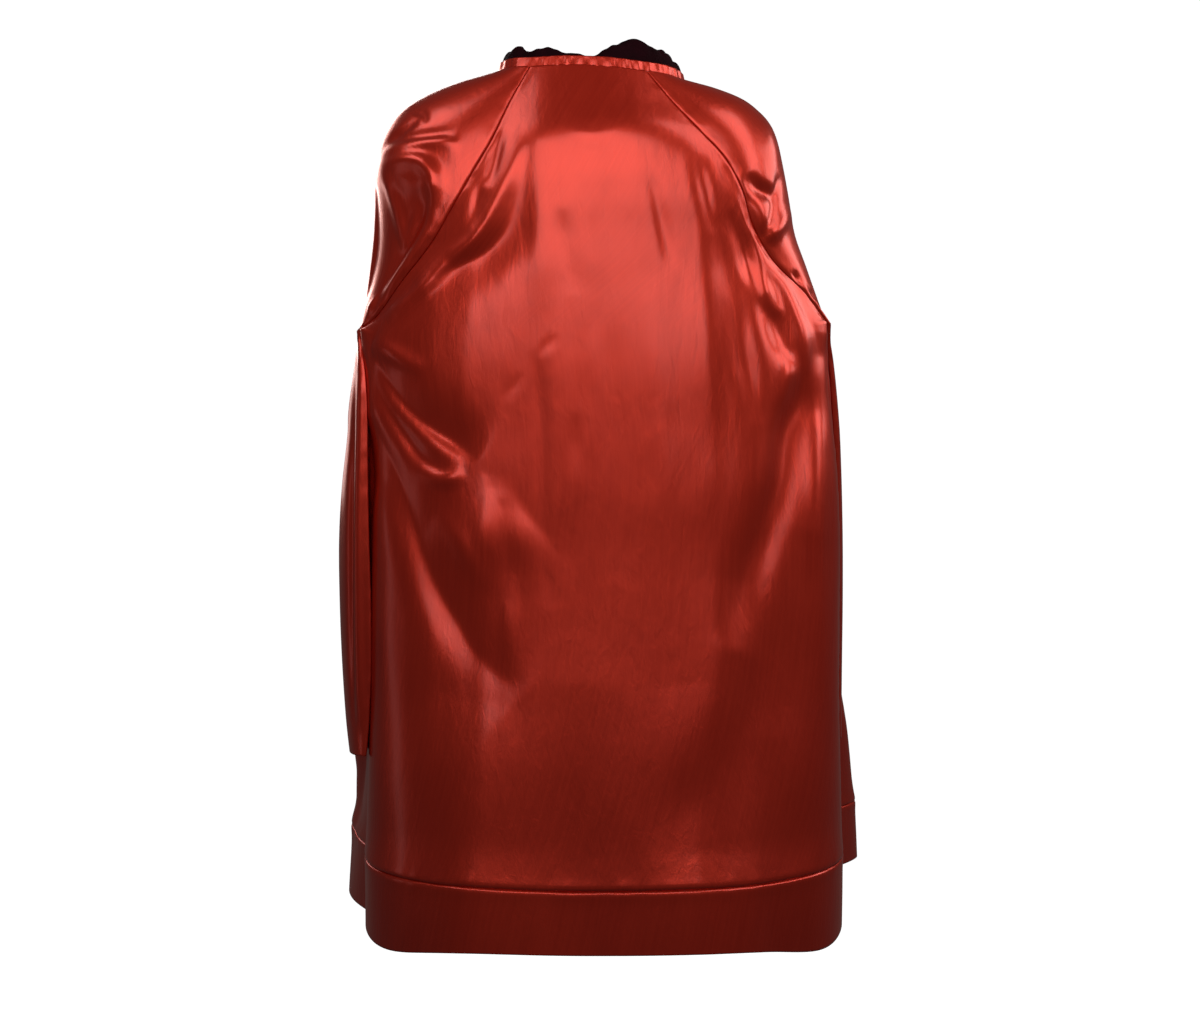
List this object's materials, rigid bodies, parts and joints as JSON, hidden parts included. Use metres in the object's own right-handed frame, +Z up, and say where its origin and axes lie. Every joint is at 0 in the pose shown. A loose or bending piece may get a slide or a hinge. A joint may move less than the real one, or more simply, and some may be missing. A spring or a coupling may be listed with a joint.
{
  "type": "evening coat",
  "caption": "Knee-length satin evening coat with raglan sleeves, hem band, gathered neck band and ruched velvet collar, hollow as worn.",
  "frame": {"origin": "middle of the neckline, level with the centre back of the neck seam", "axes": "+Z up along the coat, -Y towards the fronts, +X towards the wearer's left sleeve"},
  "size_m": [0.6785, 0.5048, 1.084],
  "materials": {
    "satin": "rust red silk satin with a soft bright sheen",
    "velvet": "ruched velvet of very dark burgundy, close to black"
  },
  "bodies": {
    "root": {"back": "satin", "hem_band_back": "satin", "front_left": "satin", "hem_band_front_left": "satin", "sleeve_left_front": "satin", "sleeve_left_back": "satin", "front_right": "satin", "hem_band_front_right": "satin", "sleeve_right_back": "satin", "sleeve_right_front": "satin", "neck_band": "satin", "collar": "velvet"}
  },
  "joints": []
}
